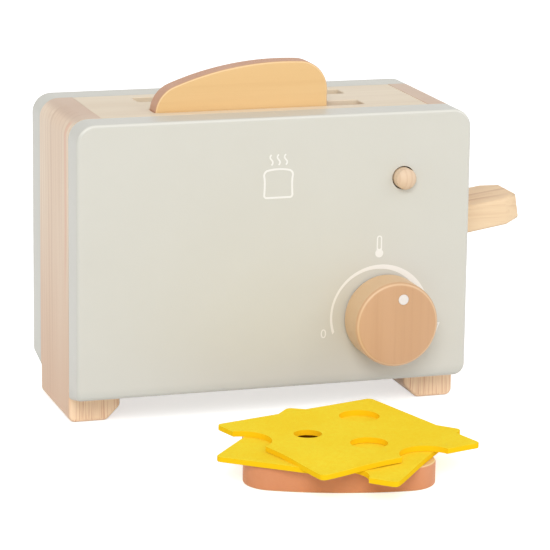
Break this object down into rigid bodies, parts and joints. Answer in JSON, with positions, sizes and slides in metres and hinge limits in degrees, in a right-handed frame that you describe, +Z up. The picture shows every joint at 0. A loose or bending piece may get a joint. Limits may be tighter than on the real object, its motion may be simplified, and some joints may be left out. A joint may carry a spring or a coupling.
{
  "type": "toy toaster",
  "caption": "Wooden toy pop-up toaster with a rocking lever, push button, turning dial, slices of wooden toast and slices of felt cheese.",
  "frame": {"origin": "on the floor, under the middle of the bounding box of the toaster with the loose slice and cheese in front of it", "axes": "+Z up, -Y towards the dial side, +X towards the lever"},
  "size_m": [0.277, 0.285, 0.1998],
  "materials": {
    "panel_paint": "satin warm grey paint on wood",
    "post_wood": "sanded clear-coated softwood, vertical grain",
    "board_wood": "sanded pale wood",
    "lever_wood": "sanded pale beech",
    "knob_wood": "turned beech, clear satin coat",
    "toast_wood": "sanded plywood faces with a brown stained edge",
    "white_paint": "satin white paint",
    "steel": "bright steel",
    "grey_felt": "grey felt",
    "yellow_felt": "bright yellow felt"
  },
  "bodies": {
    "case": {"front_panel": "panel_paint", "back_panel": "panel_paint", "left_post": "post_wood", "right_post": "post_wood", "top_board": "board_wood", "base_board": "board_wood", "panel_dowel_lower_left": "board_wood", "panel_dowel_lower_right": "board_wood", "panel_dowel_upper_left": "board_wood", "panel_dowel_upper_right": "board_wood", "back_screw_lower_left": "steel", "back_screw_lower_right": "steel", "back_screw_upper_left": "steel", "back_screw_upper_right": "steel", "pivot_pin": "steel", "pivot_spacer_front": "board_wood", "pivot_spacer_rear": "board_wood", "spring_eye_upper": "steel", "return_spring": "steel", "knob_washer": "grey_felt", "button_spring": "steel", "button_plate": "steel", "plate_screw_lower": "steel", "plate_screw_upper": "steel", "latch_pin": "steel", "latch_block": "board_wood"},
    "rocker": {"lever_arm": "lever_wood", "toast_rest_left": "lever_wood", "toast_rest_right": "lever_wood", "spring_eye_lower": "steel"},
    "toast": {"toast_slice": "toast_wood"},
    "dial": {"knob": "knob_wood", "knob_dot": "white_paint", "knob_axle": "lever_wood", "knob_retainer": "board_wood", "knob_screw": "steel"},
    "push_button": {"button": "lever_wood", "button_collar": "steel"},
    "latch_strip": {"latch": "steel"},
    "bread": {"loose_slice": "toast_wood"},
    "cheese_below": {"cheese_lower": "yellow_felt"},
    "cheese_above": {"cheese_upper": "yellow_felt"}
  },
  "joints": [
    {"name": "lever_rocker", "type": "hinge", "parent": "case", "child": "rocker", "pos_m": [-0.0985, 0.08853, 0.0691], "axis": [0, 1, 0], "range_deg": [0, 10], "stiffness_Nm_per_rad": 0.5, "springref_deg": -40.11, "deforming": ["return_spring"]},
    {"name": "toast_lift", "type": "slide", "parent": "rocker", "child": "toast", "axis": [0, 0, 1], "range_m": [0, 0.11]},
    {"name": "knob_turn", "type": "hinge", "parent": "case", "child": "dial", "pos_m": [0.0416, 0.02353, 0.0558], "axis": [0, 1, 0], "range_deg": [-116, 91]},
    {"name": "button_press", "type": "slide", "parent": "case", "child": "push_button", "axis": [0, 1, 0], "range_m": [0, 0.003], "stiffness_N_per_m": 300, "springref_m": -0.002},
    {"name": "latch_swing", "type": "hinge", "parent": "case", "child": "latch_strip", "pos_m": [0.0513, 0.05773, 0.1], "axis": [-1, 0, 0], "range_deg": [0, 5]},
    {"name": "bread_lift", "type": "slide", "parent": "case", "child": "bread", "axis": [0, 0, 1], "range_m": [0, 0.1]},
    {"name": "cheese_below_lift", "type": "slide", "parent": "bread", "child": "cheese_below", "axis": [0, 0, 1], "range_m": [0, 0.05]},
    {"name": "cheese_above_lift", "type": "slide", "parent": "cheese_below", "child": "cheese_above", "axis": [0, 0, 1], "range_m": [0, 0.05]}
  ],
  "couplings": [
    {"joint": "latch_swing", "follows": "button_press", "rad_per_m": 28.1}
  ]
}
